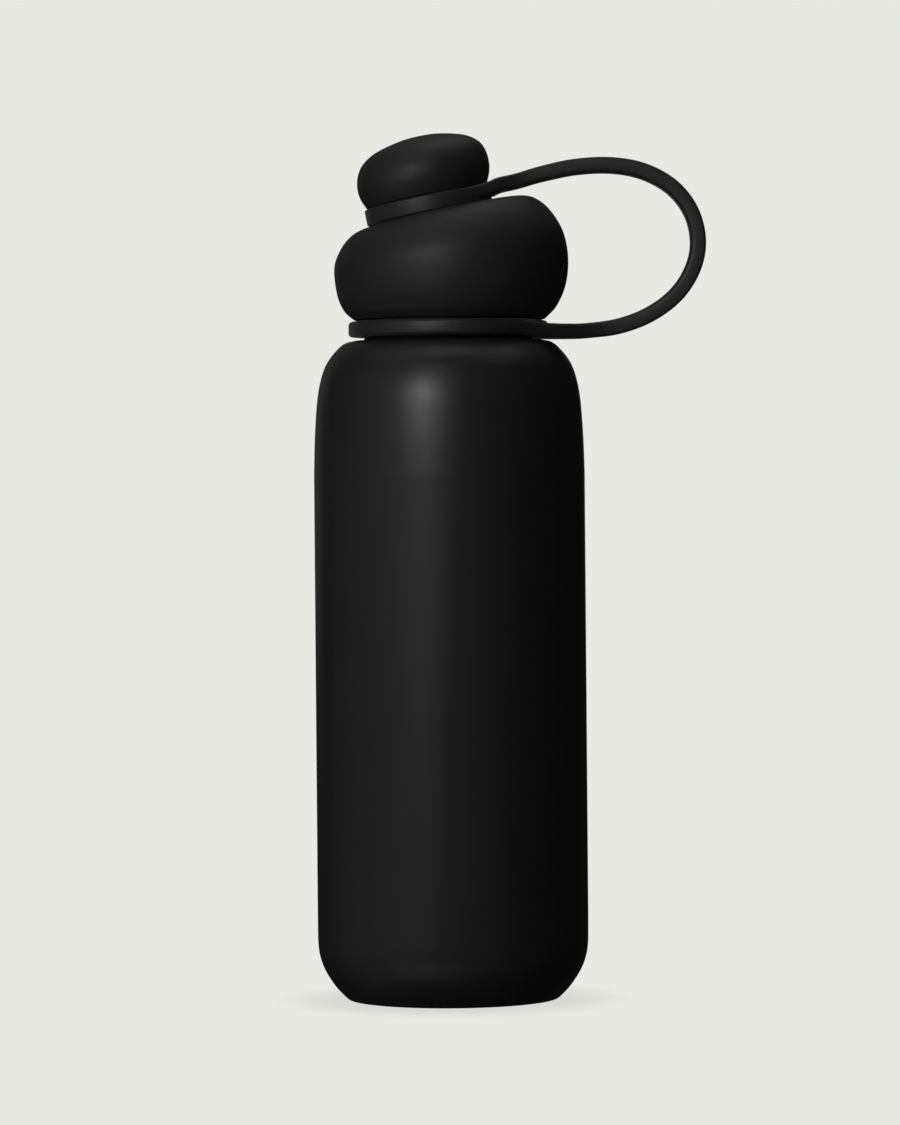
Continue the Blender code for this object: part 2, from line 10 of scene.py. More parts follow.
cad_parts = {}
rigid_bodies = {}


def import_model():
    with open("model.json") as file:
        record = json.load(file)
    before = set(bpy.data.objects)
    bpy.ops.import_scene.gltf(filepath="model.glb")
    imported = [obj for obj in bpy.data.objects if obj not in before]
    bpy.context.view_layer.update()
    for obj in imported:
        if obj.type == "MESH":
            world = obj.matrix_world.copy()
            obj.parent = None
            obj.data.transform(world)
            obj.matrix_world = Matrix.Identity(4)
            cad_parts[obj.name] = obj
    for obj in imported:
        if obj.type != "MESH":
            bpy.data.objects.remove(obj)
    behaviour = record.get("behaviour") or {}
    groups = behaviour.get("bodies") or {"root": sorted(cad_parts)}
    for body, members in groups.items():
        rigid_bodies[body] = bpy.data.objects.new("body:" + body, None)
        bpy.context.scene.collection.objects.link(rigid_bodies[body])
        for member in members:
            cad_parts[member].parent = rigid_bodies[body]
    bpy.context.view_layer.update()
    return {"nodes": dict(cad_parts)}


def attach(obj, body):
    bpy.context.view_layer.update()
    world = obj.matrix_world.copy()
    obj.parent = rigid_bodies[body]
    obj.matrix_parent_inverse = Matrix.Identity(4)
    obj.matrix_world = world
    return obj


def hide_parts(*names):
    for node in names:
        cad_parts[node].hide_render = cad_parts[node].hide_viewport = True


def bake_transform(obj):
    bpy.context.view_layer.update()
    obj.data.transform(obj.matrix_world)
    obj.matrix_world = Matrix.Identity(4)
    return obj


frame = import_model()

MM = 0.001
SEG = 192

# ------------------------------------------------------------------ sizes shared with the CAD model, mm
BODY_R = 44.0
NECK_R = 27.2
NECK_Z = 214.1
BEAD_R = 28.0
BEAD_Z = 221.8
THREAD_CORE_R = 25.6
THREAD_CREST_R = 26.8
SHELL_TOP_Z = 232.9
SHELL_WALL = 0.5
PAD_R = 30.9
PAD_T = 1.5
LIP_Z = 233.9
MOUTH_R = 22.2
VESSEL_R = 39.2
VESSEL_WALL = 0.5
VESSEL_FLOOR_Z = 7.0
GAP = 0.3

LID_LEAD = 8.0
LID_THREAD_Z = 224.2
LID_BORE_R = 27.1
LID_RIDGE_R = 25.95
LID_Z = 220.8
LID_PIVOT_X = -170.8
LID_FAN = 11.67
LID_OFFSET = 0.42
LID_SIDE = 1.63
LID_H = 35.2
LID_WALL = 2.0
LID_CEILING_Z = 236.2
LID_CEILING_T = 2.0
LID_SKIRT_R = 29.6

SPOUT_TILT = 11.0
SPOUT_X = -6.1
SPOUT_Z = 257.75
SPOUT_R = 12.5
SPOUT_BORE_R = 10.5
SPOUT_CREST_R = 13.3
SPOUT_TOP = 6.6
WELL_R = 17.6
WELL_FLOOR = -4.6
CAP_LEAD = 6.0
CAP_BORE_R = 13.6
CAP_RIDGE_R = 12.75
CAP_SKIRT_R = 14.9
CAP_FLANGE_R = 17.2
CAP_UNDERSIDE = 2.85
CAP_TOP = 22.95
CAP_WALL = 1.8

STRAP_W = 9.0
NECK_RING_R = 32.4
NECK_RING_BORE = 27.5
NECK_RING_Z = 217.98
NECK_RING_T = 4.65
CAP_RING_R = 20.7
CAP_RING_BORE = 15.2

TILTED = Matrix.Translation((SPOUT_X * MM, 0.0, SPOUT_Z * MM)) @ Matrix.Rotation(-math.radians(SPOUT_TILT), 4, "Y")

scene = bpy.context.scene
PIECES = bpy.data.collections.new("looks")
TOOLS = bpy.data.collections.new("tools")
scene.collection.children.link(PIECES)
scene.collection.children.link(TOOLS)


# ------------------------------------------------------------------ mesh helpers
def link(name, mesh, tool=False):
    obj = bpy.data.objects.new(name, mesh)
    (TOOLS if tool else PIECES).objects.link(obj)
    return obj


def smooth_line(points, per_span):
    head = tuple(2 * a - b for a, b in zip(points[0], points[1]))
    tail = tuple(2 * a - b for a, b in zip(points[-1], points[-2]))
    ctrl = [head] + [tuple(p) for p in points] + [tail]
    line = []
    for i in range(1, len(ctrl) - 2):
        p0, p1, p2, p3 = ctrl[i - 1:i + 3]
        for step in range(per_span):
            t = step / per_span
            line.append(tuple(0.5 * (2 * b + (c - a) * t + (2 * a - 5 * b + 4 * c - d) * t * t
                                     + (3 * b - a - 3 * c + d) * t ** 3)
                              for a, b, c, d in zip(p0, p1, p2, p3)))
    line.append(tuple(points[-1]))
    return line


def even_line(line, step):
    """The same line with points an even step apart."""
    pts = np.array(line, float)
    seg = np.hypot(*np.diff(pts, axis=0).T)
    s = np.concatenate([[0], np.cumsum(seg)])
    n = max(int(round(s[-1] / step)), 1)
    t = np.linspace(0, s[-1], n + 1)
    return [tuple(np.interp(v, s, pts[:, k]) for k in range(pts.shape[1])) for v in t]


def inset_line(line, distance):
    out = []
    for i, point in enumerate(line):
        a, b = line[max(i - 1, 0)], line[min(i + 1, len(line) - 1)]
        dx, dz = b[0] - a[0], b[1] - a[1]
        length = math.hypot(dx, dz)
        out.append((point[0] + dz / length * distance, point[1] - dx / length * distance))
    return out


def rounded(profile, radii, steps=4, closed=True):
    """A polygon outline with its corners rounded to the radii given (0 keeps the corner)."""
    out = []
    n = len(profile)
    for i, p in enumerate(profile):
        r = radii[i] if i < len(radii) else 0
        if not r or (not closed and i in (0, n - 1)):
            out.append(tuple(p))
            continue
        a, b, c = Vector(profile[i - 1]), Vector(p), Vector(profile[(i + 1) % n])
        u, v = (a - b), (c - b)
        lu, lv = u.length, v.length
        u, v = u.normalized(), v.normalized()
        half = 0.5 * u.angle(v)
        cut = min(r / math.tan(half), 0.49 * lu, 0.49 * lv)
        rr = cut * math.tan(half)
        centre = b + (u + v).normalized() * (rr / math.sin(half))
        start, end = b + u * cut - centre, b + v * cut - centre
        a0 = math.atan2(start.y, start.x)
        a1 = math.atan2(end.y, end.x)
        d = (a1 - a0 + math.pi) % math.tau - math.pi
        for k in range(steps + 1):
            a2 = a0 + d * k / steps
            out.append((centre.x + rr * math.cos(a2), centre.y + rr * math.sin(a2)))
    return out


def spun(name, profile, mapping=None, segments=SEG, tool=False, closed=True):
    """(radius, height) outline in mm turned about Z. Closed outlines join up; open ones run from axis to axis."""
    pts = []
    for p in profile:
        if not pts or math.hypot(p[0] - pts[-1][0], p[1] - pts[-1][1]) > 0.002:
            pts.append((max(p[0], 0.0), p[1]))
    if closed and math.hypot(pts[0][0] - pts[-1][0], pts[0][1] - pts[-1][1]) < 0.002:
        pts.pop()
    verts, index = [], []
    for r, h in pts:
        row = []
        if r < 1e-6:
            row = [len(verts)] * segments
            verts.append((0.0, 0.0, h))
        else:
            for k in range(segments):
                a = math.tau * k / segments
                row.append(len(verts))
                verts.append((r * math.cos(a), r * math.sin(a), h))
        index.append(row)
    faces = []
    rows = len(index)
    for i in range(rows if closed else rows - 1):
        a, b = index[i], index[(i + 1) % rows]
        for k in range(segments):
            j = (k + 1) % segments
            face = []
            for v in (a[k], a[j], b[j], b[k]):
                if v not in face:
                    face.append(v)
            if len(face) > 2:
                faces.append(face)
    if mapping:
        verts = [mapping(*v) for v in verts]
    mesh = bpy.data.meshes.new(name)
    mesh.from_pydata([Vector(v) * MM for v in verts], [], faces)
    bm = bmesh.new()
    bm.from_mesh(mesh)
    bmesh.ops.recalc_face_normals(bm, faces=bm.faces)
    if bm.calc_volume(signed=True) < 0:
        bmesh.ops.reverse_faces(bm, faces=bm.faces)
    bm.to_mesh(mesh)
    bm.free()
    return link(name, mesh, tool)


def loft(name, sections, tool=False):
    verts = [Vector(p) * MM for ring in sections for p in ring]
    n = len(sections[0])
    faces = []
    for i in range(len(sections) - 1):
        for k in range(n):
            j = (k + 1) % n
            faces.append((i * n + k, i * n + j, (i + 1) * n + j, (i + 1) * n + k))
    faces.append(tuple(reversed(range(n))))
    faces.append(tuple((len(sections) - 1) * n + k for k in range(n)))
    mesh = bpy.data.meshes.new(name)
    mesh.from_pydata(verts, [], faces)
    bm = bmesh.new()
    bm.from_mesh(mesh)
    bmesh.ops.recalc_face_normals(bm, faces=bm.faces)
    bm.to_mesh(mesh)
    bm.free()
    return link(name, mesh, tool)


def thread_ridge(name, root_r, crest_r, z0, lead, turns, start_deg, root_w, crest_w):
    """One start of a thread: rounded ridge along a right-hand helix, fading out at its ends."""
    steps = int(160 * turns)
    taper = max(int(160 / 14), 2)
    sections = []
    for i in range(steps + 1):
        turn = turns * i / steps
        angle = math.radians(start_deg) + math.tau * turn
        z = z0 + lead * turn
        fade = min(1.0, min(i, steps - i) / taper)
        fade = 0.06 + 0.94 * math.sin(fade * math.pi / 2)
        ring = []
        for k in range(9):
            u = -1.0 + 0.25 * k
            rise = 1.0 / (1.0 + math.exp((abs(u) - 0.62) * 11.0))
            if k in (0, 8):
                rise = 0.0
            ring.append((root_r + (crest_r - root_r) * rise * fade, z + 0.5 * root_w * u))
        if crest_r < root_r:
            ring.reverse()
        sections.append([(r * math.cos(angle), r * math.sin(angle), h) for r, h in ring])
    return loft(name, sections, tool=True)


def boolean(obj, tool, operation):
    mod = obj.modifiers.new(operation, "BOOLEAN")
    mod.object = tool
    mod.operation = operation
    mod.solver = "EXACT"


def bake_modifiers(obj):
    """Turns the modifiers' result into the mesh."""
    bpy.context.view_layer.update()
    dg = bpy.context.evaluated_depsgraph_get()
    mesh = bpy.data.meshes.new_from_object(obj.evaluated_get(dg), preserve_all_data_layers=False, depsgraph=dg)
    old = obj.data
    obj.modifiers.clear()
    obj.data = mesh
    mesh.name = obj.name
    bpy.data.meshes.remove(old)
    return obj


def shade(obj, degrees=28.0):
    bm = bmesh.new()
    bm.from_mesh(obj.data)
    bmesh.ops.remove_doubles(bm, verts=bm.verts, dist=2e-6)
    bmesh.ops.dissolve_degenerate(bm, edges=bm.edges, dist=1e-6)
    bm.to_mesh(obj.data)
    bm.free()
    obj.data.shade_smooth()
    obj.data.set_sharp_from_angle(angle=math.radians(degrees))
    return obj


def put_tilted(obj):
    obj.data.transform(TILTED)
    return obj


def tilted_point(lateral, side, axial):
    return TILTED @ Vector((lateral * MM, side * MM, axial * MM)) / MM


def wear_piece(obj, mat, body, slot, *nodes):
    obj.data.materials.clear()
    obj.data.materials.append(mat)
    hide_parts(*nodes)
    if body:
        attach(obj, body)
    return obj


# ------------------------------------------------------------------ materials
class Nodes:
    def __init__(self, name):
        self.mat = bpy.data.materials.new(name)
        self.mat.use_nodes = True
        self.tree = self.mat.node_tree
        self.bsdf = self.tree.nodes["Principled BSDF"]
        self.coord = self.tree.nodes.new("ShaderNodeTexCoord")

    def add(self, kind, **values):
        node = self.tree.nodes.new(kind)
        for key, value in values.items():
            if key.startswith("in_"):
                node.inputs[key[3:].replace("_", " ")].default_value = value
            else:
                setattr(node, key, value)
        return node

    def join(self, a, b):
        self.tree.links.new(a, b)

    def scaled(self, scale, rotation=(0, 0, 0)):
        node = self.add("ShaderNodeMapping")
        node.inputs["Scale"].default_value = scale
        node.inputs["Rotation"].default_value = rotation
        self.join(self.coord.outputs["Object"], node.inputs["Vector"])
        return node.outputs["Vector"]

    def noise(self, scale, detail=4.0, roughness=0.55, vector=None):
        node = self.add("ShaderNodeTexNoise")
        node.inputs["Scale"].default_value = scale
        node.inputs["Detail"].default_value = detail
        node.inputs["Roughness"].default_value = roughness
        self.join(vector if vector is not None else self.coord.outputs["Object"], node.inputs["Vector"])
        return node.outputs["Fac"]

    def ramp(self, source, stops):
        node = self.add("ShaderNodeValToRGB")
        cr = node.color_ramp
        while len(cr.elements) < len(stops):
            cr.elements.new(0.5)
        for element, (pos, colour) in zip(cr.elements, stops):
            element.position = pos
            element.color = (*colour, 1.0) if len(colour) == 3 else colour
        self.join(source, node.inputs["Fac"])
        return node.outputs["Color"]

    def span(self, source, lo, hi, from_lo=0.3, from_hi=0.7):
        node = self.add("ShaderNodeMapRange")
        node.inputs["From Min"].default_value = from_lo
        node.inputs["From Max"].default_value = from_hi
        node.inputs["To Min"].default_value = lo
        node.inputs["To Max"].default_value = hi
        self.join(source, node.inputs["Value"])
        return node.outputs["Result"]

    def maths(self, op, a, b):
        node = self.add("ShaderNodeMath", operation=op)
        for i, v in enumerate((a, b)):
            if isinstance(v, (int, float)):
                node.inputs[i].default_value = v
            else:
                self.join(v, node.inputs[i])
        return node.outputs[0]

    def bump(self, height, strength, distance, normal=None):
        node = self.add("ShaderNodeBump")
        node.inputs["Strength"].default_value = strength
        node.inputs["Distance"].default_value = distance
        self.join(height, node.inputs["Height"])
        if normal is not None:
            self.join(normal, node.inputs["Normal"])
        return node.outputs["Normal"]

    def colour(self, source):
        self.join(source, self.bsdf.inputs["Base Color"])

    def rough(self, source):
        self.join(source, self.bsdf.inputs["Roughness"])

    def normal(self, source):
        self.join(source, self.bsdf.inputs["Normal"])

    def fix(self, **values):
        names = {"metallic": "Metallic", "spec": "Specular IOR Level", "ior": "IOR", "coat": "Coat Weight",
                 "coat_rough": "Coat Roughness", "sheen": "Sheen Weight", "sheen_rough": "Sheen Roughness",
                 "transmission": "Transmission Weight", "roughness": "Roughness", "aniso": "Anisotropic",
                 "subsurface": "Subsurface Weight", "alpha": "Alpha"}
        for key, value in values.items():
            self.bsdf.inputs[names[key]].default_value = value


def powder_coat():
    """Matt black powder coat on steel: very fine orange peel, faint turning lines under it, a faint fine mottle in its
    tone.
    """
    n = Nodes("powder_coat")
    tone = n.noise(38.0, 3.0)
    fine = n.noise(2600.0, 2.0)
    mixed = n.maths("ADD", n.maths("MULTIPLY", tone, 0.7), n.maths("MULTIPLY", fine, 0.3))
    n.colour(n.ramp(mixed, [(0.30, (0.0185, 0.0185, 0.0186)), (0.70, (0.0235, 0.0235, 0.0236))]))
    lines = n.noise(1.0, 3.0, 0.6, n.scaled((26.0, 26.0, 2100.0)))
    patch = n.noise(60.0, 2.0)
    r = n.maths("ADD", n.span(lines, -0.022, 0.022), n.span(patch, 0.332, 0.348))
    n.rough(r)
    peel = n.noise(3200.0, 2.0, 0.5)
    first = n.bump(peel, 0.024, 0.00010)
    n.normal(n.bump(lines, 0.016, 0.00012, first))
    n.fix(spec=0.5, coat=0.0)
    return n.mat


def soft_touch(name="lid_plastic", tone=0.021):
    """Soft-touch moulded plastic: near-black with a very fine leather-free grain."""
    n = Nodes(name)
    cloud = n.noise(55.0, 3.0)
    n.colour(n.ramp(cloud, [(0.3, (tone * 0.92,) * 3), (0.7, (tone * 1.12,) * 3)]))
    grain = n.noise(3600.0, 2.0, 0.5)
    n.rough(n.maths("ADD", n.span(n.noise(90.0, 3.0), 0.505, 0.535), n.span(grain, -0.02, 0.02)))
    n.normal(n.bump(grain, 0.03, 0.00010))
    n.fix(spec=0.5)
    return n.mat


def silicone(name, tone, lint=True):
    """Matt silicone rubber: satin skin, faint cloudiness, a little lint that shows in the light."""
    n = Nodes(name)
    cloud = n.noise(70.0, 3.0)
    base = n.ramp(cloud, [(0.3, (tone * 0.9,) * 3), (0.7, (tone * 1.15,) * 3)])
    if lint:
        specks = n.noise(2400.0, 1.0, 0.4)
        mask = n.ramp(specks, [(0.70, (0, 0, 0)), (0.76, (1, 1, 1))])
        mix = n.add("ShaderNodeMix", data_type="RGBA")
        n.join(mask, mix.inputs["Factor"])
        n.join(base, mix.inputs["A"])
        mix.inputs["B"].default_value = (tone * 2.6, tone * 2.6, tone * 2.6, 1)
        n.colour(mix.outputs["Result"])
    else:
        n.colour(base)
    skin = n.noise(1500.0, 3.0, 0.6)
    n.rough(n.maths("ADD", n.span(n.noise(160.0, 3.0), 0.43, 0.47), n.span(skin, -0.04, 0.04)))
    n.normal(n.bump(skin, 0.05, 0.00010))
    n.fix(spec=0.5, sheen=0.30, sheen_rough=0.35)
    return n.mat


def turned_steel(name, colour, rough, stretch=(40.0, 40.0, 1500.0)):
    """Bare steel with turned marks round it."""
    n = Nodes(name)
    lines = n.noise(1.0, 3.0, 0.65, n.scaled(stretch))
    cloud = n.noise(60.0, 3.0)
    n.colour(n.ramp(cloud, [(0.3, tuple(c * 0.9 for c in colour)), (0.7, tuple(min(c * 1.08, 1) for c in colour))]))
    n.rough(n.span(lines, rough - 0.07, rough + 0.08))
    n.normal(n.bump(lines, 0.18, 0.00008))
    n.fix(metallic=1.0)
    return n.mat


def foil_metal():
    n = Nodes("foil")
    creases = n.noise(140.0, 4.0, 0.6)
    n.colour(n.ramp(creases, [(0.3, (0.50, 0.25, 0.15)), (0.7, (0.74, 0.42, 0.27))]))
    n.rough(n.span(creases, 0.22, 0.40))
    n.normal(n.bump(creases, 0.5, 0.0005))
    n.fix(metallic=1.0)
    return n.mat


def pressed_powder():
    n = Nodes("getter")
    grain = n.noise(2200.0, 3.0, 0.7)
    n.colour(n.ramp(grain, [(0.3, (0.14, 0.14, 0.15)), (0.7, (0.30, 0.30, 0.31))]))
    n.rough(n.span(grain, 0.62, 0.85))
    n.normal(n.bump(grain, 0.6, 0.0002))
    n.fix(metallic=0.6)
    return n.mat


def solder_glass():
    n = Nodes("solder_glass")
    cloud = n.noise(900.0, 3.0)
    n.colour(n.ramp(cloud, [(0.3, (0.10, 0.11, 0.10)), (0.7, (0.22, 0.23, 0.20))]))
    n.rough(n.span(cloud, 0.12, 0.28))
    n.normal(n.bump(cloud, 0.2, 0.0001))
    return n.mat


def rigid_foam():
    n = Nodes("foam")
    cells = n.add("ShaderNodeTexVoronoi")
    cells.inputs["Scale"].default_value = 1100.0
    n.join(n.coord.outputs["Object"], cells.inputs["Vector"])
    cloud = n.noise(120.0, 3.0)
    n.colour(n.ramp(cloud, [(0.3, (0.70, 0.65, 0.52)), (0.7, (0.84, 0.80, 0.69))]))
    n.rough(n.span(cloud, 0.85, 0.95))
    n.normal(n.bump(cells.outputs["Distance"], 0.6, 0.0004))
    return n.mat


def milky_silicone():
    n = Nodes("clear_silicone")
    cloud = n.noise(200.0, 3.0)
    n.colour(n.ramp(cloud, [(0.3, (0.58, 0.59, 0.59)), (0.7, (0.68, 0.69, 0.69))]))
    n.rough(n.span(cloud, 0.36, 0.48))
    n.normal(n.bump(n.noise(1800.0, 2.0), 0.12, 0.0001))
    n.fix(subsurface=0.0, transmission=0.15)
    return n.mat


COAT = powder_coat()
LID_MAT = soft_touch()
LINER_MAT = soft_touch("liner_plastic", 0.030)
STRAP_MAT = silicone("strap_silicone", 0.026)
PAD_MAT = silicone("pad_silicone", 0.020, lint=False)
STEEL = turned_steel("steel", (0.56, 0.56, 0.55), 0.30)
FOIL = foil_metal()
GETTER = pressed_powder()
GLASS = solder_glass()
FOAM = rigid_foam()
SEAL = milky_silicone()

for node, mat in (("radiation_foil", FOIL), ("getter", GETTER), ("vacuum_seal_bead", GLASS), ("lid_foam", FOAM),
                  ("cap_foam", FOAM)):
    obj = frame["nodes"][node]
    obj.data.materials.clear()
    obj.data.materials.append(mat)


# ------------------------------------------------------------------ bottle body
def body_outline():
    """Neck, shoulder, wall, foot and the recess for the pad, down the outside."""
    neck = rounded([(THREAD_CORE_R - 0.5, SHELL_TOP_Z), (THREAD_CORE_R, SHELL_TOP_Z), (THREAD_CORE_R, BEAD_Z + 0.9),
                    (BEAD_R, BEAD_Z + 0.5), (BEAD_R, BEAD_Z - 0.5), (NECK_R, BEAD_Z - 0.9), (NECK_R, NECK_Z)],
                   [0, 0.35, 0.5, 0.45, 0.45, 0.3, 0], 5, closed=False)[:-1]
    foot_of_neck = [(NECK_R + 1.0 - math.cos(a), NECK_Z + 1.0 - math.sin(a)) for a in
                    [k * math.pi / 14 for k in range(8)]]
    shoulder = smooth_line([(28.4, NECK_Z + 0.0), (31.0, 214.0), (34.6, 212.72), (38.78, 208.1), (41.15, 203.0),
                            (42.75, 195.0), (43.6, 183.5), (BODY_R - 0.03, 172.0), (BODY_R, 166.0)], 10)
    wall = [(BODY_R, z) for z in range(160, 26, -8)]
    foot = smooth_line([(BODY_R, 24.0), (43.85, 18.0), (43.1, 13.5), (41.3, 9.1), (38.2, 4.4), (35.2, 1.2),
                        (34.3, 0.45)], 10)
    rim = [(34.0, GAP + 0.02), (33.6, GAP), (PAD_R + 0.6, GAP), (PAD_R + 0.35, GAP + 0.1), (PAD_R + GAP, GAP + 0.35),
           (PAD_R + GAP, PAD_T + GAP), (1.6, PAD_T + GAP)]
    return neck, foot_of_neck + shoulder + wall + foot, rim


def build_body():
    neck, side, rim = body_outline()
    back = [p for p in inset_line(side, SHELL_WALL) if p[0] < 43.9 and p[1] > 1.6 and p[0] > 27.3]
    back = back[::2]
    bore = THREAD_CORE_R - SHELL_WALL - 0.1
    inner = [(1.6, PAD_T + GAP + 0.5), (PAD_R + 1.2, PAD_T + GAP + 0.5), (PAD_R + 1.2, 1.2), (34.0, 1.2)] + \
        list(reversed(back)) + [(bore + 1.0, NECK_Z - 0.7), (bore, NECK_Z - 0.2), (bore, SHELL_TOP_Z)]
    body = spun("bottle_body", neck + side + rim + inner, closed=True)
    for k in range(2):
        boolean(body, thread_ridge("ridge_n%d" % k, THREAD_CORE_R - 0.3, THREAD_CREST_R, LID_THREAD_Z, LID_LEAD, 0.86,
                                   180.0 * k + 3.0, 2.0, 1.0), "UNION")
    bake_modifiers(body)
    shade(body, 40)
    return wear_piece(body, COAT, "bottle", "powder_coat", "outer_shell", "outer_base")


def build_vessel():
    wall = smooth_line([(MOUTH_R + VESSEL_WALL, 216.0), (23.3, 213.6), (24.9, 212.0), (29.5, 209.4), (34.2, 205.8),
                        (37.2, 199.5), (38.7, 189.5), (VESSEL_R, 176.0)], 5)
    foot = smooth_line([(VESSEL_R, 22.0), (38.0, 13.5), (34.0, 8.6), (27.5, VESSEL_FLOOR_Z)], 6)
    straight = [(VESSEL_R, z) for z in range(168, 26, -16)]
    outside = [(MOUTH_R + VESSEL_WALL, SHELL_TOP_Z + GAP)] + wall + straight + foot + [(0.0, VESSEL_FLOOR_Z)]
    inside = inset_line(wall + straight + foot, VESSEL_WALL)
    inside = [(MOUTH_R, SHELL_TOP_Z + GAP), (MOUTH_R, 215.8)] + inside[2:] + [(0.0, VESSEL_FLOOR_Z + VESSEL_WALL)]
    lip = rounded([(MOUTH_R, SHELL_TOP_Z + GAP + 0.1), (MOUTH_R, LIP_Z), (THREAD_CORE_R - 0.2, LIP_Z),
                   (THREAD_CORE_R - 0.2, SHELL_TOP_Z + GAP)], [0, 0.3, 0.3, 0], 5, closed=False)
    vessel = spun("inner_bottle", lip + outside + list(reversed(inside))[:-1], segments=128, closed=True)
    shade(vessel, 40)
    return wear_piece(vessel, STEEL, "bottle", "steel", "inner_vessel")


def build_pad():
    rings = []
    for r in (24.0, 15.0, 6.0):
        rings += [(r + 0.8, 0.0), (r + 0.5, 0.35), (r - 0.5, 0.35), (r - 0.8, 0.0)]
    outline = [(0.0, PAD_T)] + rounded([(PAD_R - 2.0, PAD_T), (PAD_R, PAD_T), (PAD_R, 0.0), (PAD_R - 2.0, 0.0)],
                                       [0, 0.3, 0.45, 0], 5, closed=False) + rings + [(0.0, 0.0)]
    pad = spun("foot_pad", outline, segments=128, closed=False)
    shade(pad, 40)
    return wear_piece(pad, PAD_MAT, "bottle", "pad_silicone", "base_pad")


# ------------------------------------------------------------------ big lid
def lid_map(x, y, h):
    share = h / LID_H
    angle = math.radians(LID_FAN) * share
    side = LID_OFFSET + LID_SIDE * math.sin(min(1.0, 1.9 * max(share, 0.0)) * math.pi / 2)
    reach = -LID_PIVOT_X + side + x
    return LID_PIVOT_X + reach * math.cos(angle), y, LID_Z + reach * math.sin(angle)


def lid_line():
    return smooth_line([(31.35, 0.35), (34.45, 3.5), (37.1, 9.2), (38.15, 16.8), (37.4, 23.7), (34.38, 29.7),
                        (30.6, 33.45), (26.6, 34.95), (21.0, LID_H - 0.02)], 9)


def build_lid():
    outer = [(0.0, 0.0), (30.4, 0.0), (30.8, 0.02), (31.1, 0.14)] + lid_line() + [(18.0, LID_H), (0.0, LID_H)]
    shell = spun("lid_body", outer, lid_map, closed=False)
    line = [(r, min(max(h, LID_WALL), LID_H - LID_WALL)) for r, h in inset_line(lid_line(), -LID_WALL)]
    hollow = spun("lid_hollow", [(0.0, LID_WALL)] + line[::3] + [(0.0, LID_H - LID_WALL)], lid_map, 96, True, closed=False)
    throat = spun("throat", [(0.0, 229.0), (LID_SKIRT_R + GAP, 229.0), (LID_SKIRT_R + GAP, 221.2),
                             (LID_SKIRT_R + GAP + 0.4, 220.0), (LID_SKIRT_R + GAP + 0.4, 214.0), (0.0, 214.0)],
                  None, 96, True, closed=False)
    boolean(hollow, throat, "UNION")
    boolean(hollow, put_tilted(spun("well_body", [(0.0, 14.0), (WELL_R + 1.6, 14.0), (WELL_R + 1.6, WELL_FLOOR - 1.5),
                                                  (0.0, WELL_FLOOR - 1.5)], None, 96, True, closed=False)), "DIFFERENCE")
    bake_modifiers(hollow)
    boolean(shell, hollow, "DIFFERENCE")
    # the well's rim is rounded over, so the cutter flares just under the top face
    flare = [(WELL_R + 2.6, 14.0), (WELL_R + 2.6, -2.0), (WELL_R + 0.75, -2.68), (WELL_R + 0.35, -2.85),
             (WELL_R + 0.1, -3.2), (WELL_R, -3.7), (WELL_R, WELL_FLOOR + 0.4), (WELL_R - 0.4, WELL_FLOOR)]
    boolean(shell, put_tilted(spun("well", [(0.0, 14.0)] + flare + [(0.0, WELL_FLOOR)], None, 128, True, closed=False)),
            "DIFFERENCE")
    boolean(shell, put_tilted(spun("spout_hole", [(0.0, 15.0), (SPOUT_R + GAP, 15.0), (SPOUT_R + GAP, -60.0),
                                                  (0.0, -60.0)], None, 128, True, closed=False)), "DIFFERENCE")
    bake_modifiers(shell)
    shade(shell, 32)
    wear_piece(shell, LID_MAT, "lid", "lid_plastic", "lid_shell")

    top = LID_CEILING_Z + LID_CEILING_T
    outline = rounded([(0.0, top), (LID_SKIRT_R, top), (LID_SKIRT_R, LID_Z + 0.4), (BEAD_R + 0.4, LID_Z + 0.4),
                       (BEAD_R + 0.4, BEAD_Z + 1.4), (LID_BORE_R, BEAD_Z + 1.9), (LID_BORE_R, LID_CEILING_Z),
                       (0.0, LID_CEILING_Z)], [0, 0.8, 0.4, 0.3, 0, 0, 0.5, 0], 5, closed=False)
    liner = spun("lid_liner_fine", outline, None, 128, closed=False)
    for k in range(2):
        boolean(liner, thread_ridge("ridge_l%d" % k, LID_BORE_R + 0.3, LID_RIDGE_R, LID_THREAD_Z + 1.75, LID_LEAD, 0.62,
                                    180.0 * k - 8.25, 2.0, 1.0), "UNION")
    boolean(liner, bpy.data.objects["spout_hole"], "DIFFERENCE")
    bake_modifiers(liner)
    shade(liner, 32)
    wear_piece(liner, LINER_MAT, "lid", "liner_plastic", "lid_liner")

    gasket = spun("lid_gasket_fine", rounded([(THREAD_CORE_R + 0.9, LID_CEILING_Z - GAP), (THREAD_CORE_R + 0.9, LIP_Z + GAP),
                                              (MOUTH_R + 0.8, LIP_Z + GAP), (MOUTH_R + 0.8, LID_CEILING_Z - GAP)],
                                             [0.4] * 4, 4), None, 128)
    shade(gasket, 40)
    wear_piece(gasket, SEAL, "lid", "clear_silicone", "lid_gasket")


